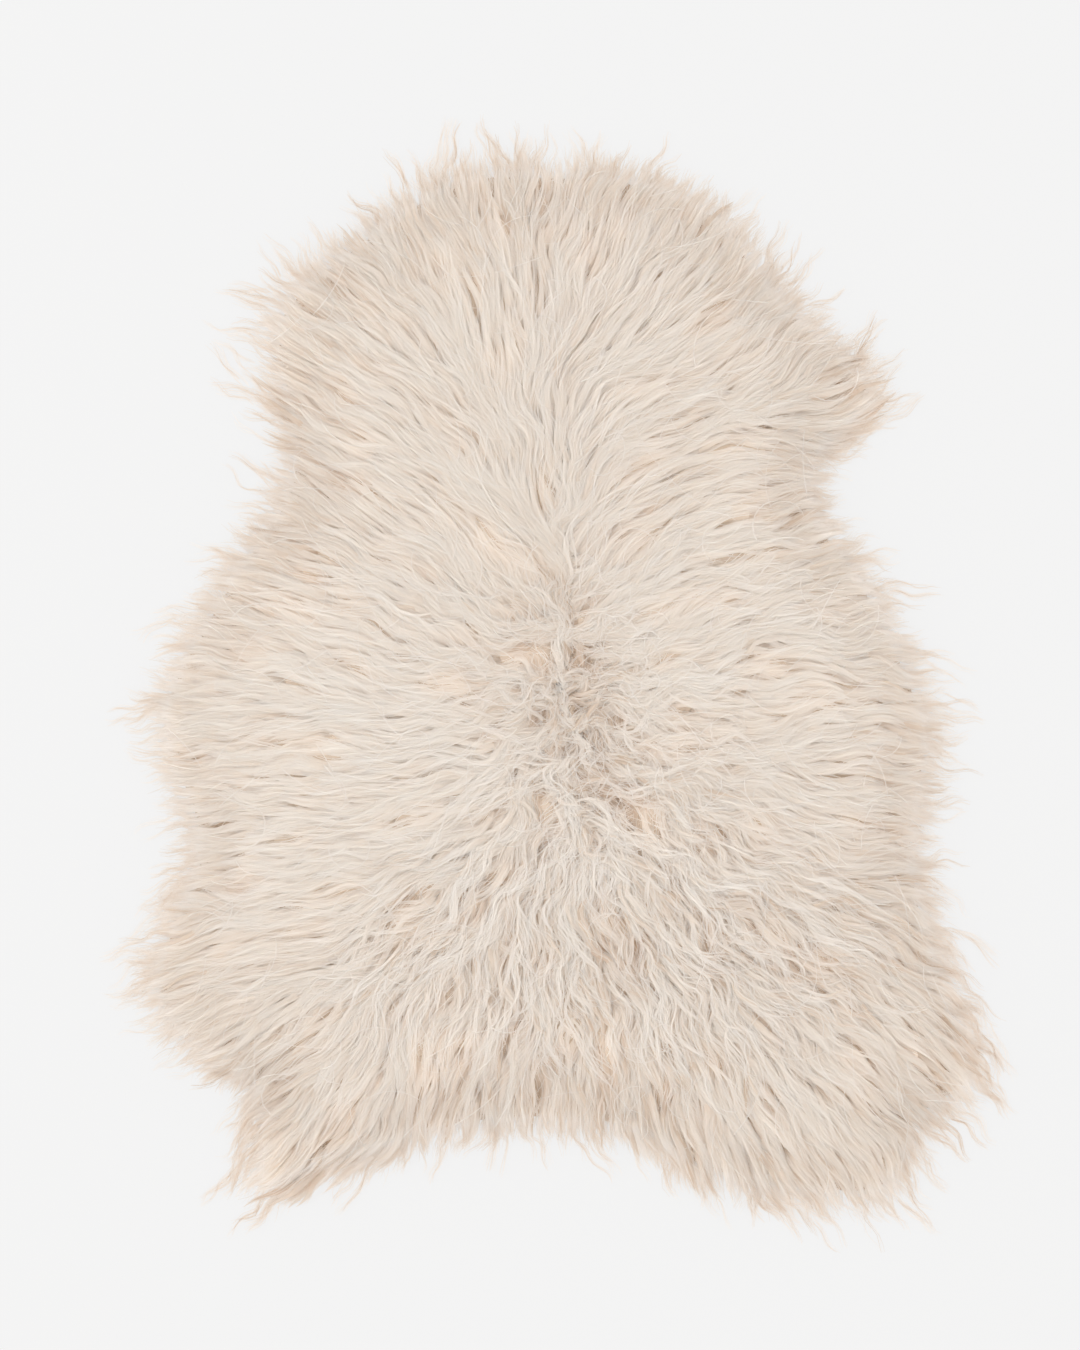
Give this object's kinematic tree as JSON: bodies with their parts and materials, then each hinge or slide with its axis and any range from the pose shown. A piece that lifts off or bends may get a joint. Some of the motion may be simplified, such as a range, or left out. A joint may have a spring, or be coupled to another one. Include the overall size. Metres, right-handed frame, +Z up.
{
  "type": "sheepskin rug",
  "caption": "Long-haired sheepskin rug in its natural pelt outline, laid flat with the wool up, the fleece combed outward from the back line to a wispy fringe.",
  "frame": {"origin": "on the floor, under the middle of the rug's box over its longest tufts", "axes": "+Z up out of the wool; +Y along the back line to the neck; +X to the right-hand side seen from above"},
  "size_m": [0.83, 1.02, 0.056],
  "materials": {
    "wool": "long silky undyed fleece, warm ivory with beige depths, soft sheen along the locks",
    "hide": "pale tanned suede, matt, on the underside"
  },
  "bodies": {
    "root": {"sheepskin": "wool"}
  },
  "joints": []
}
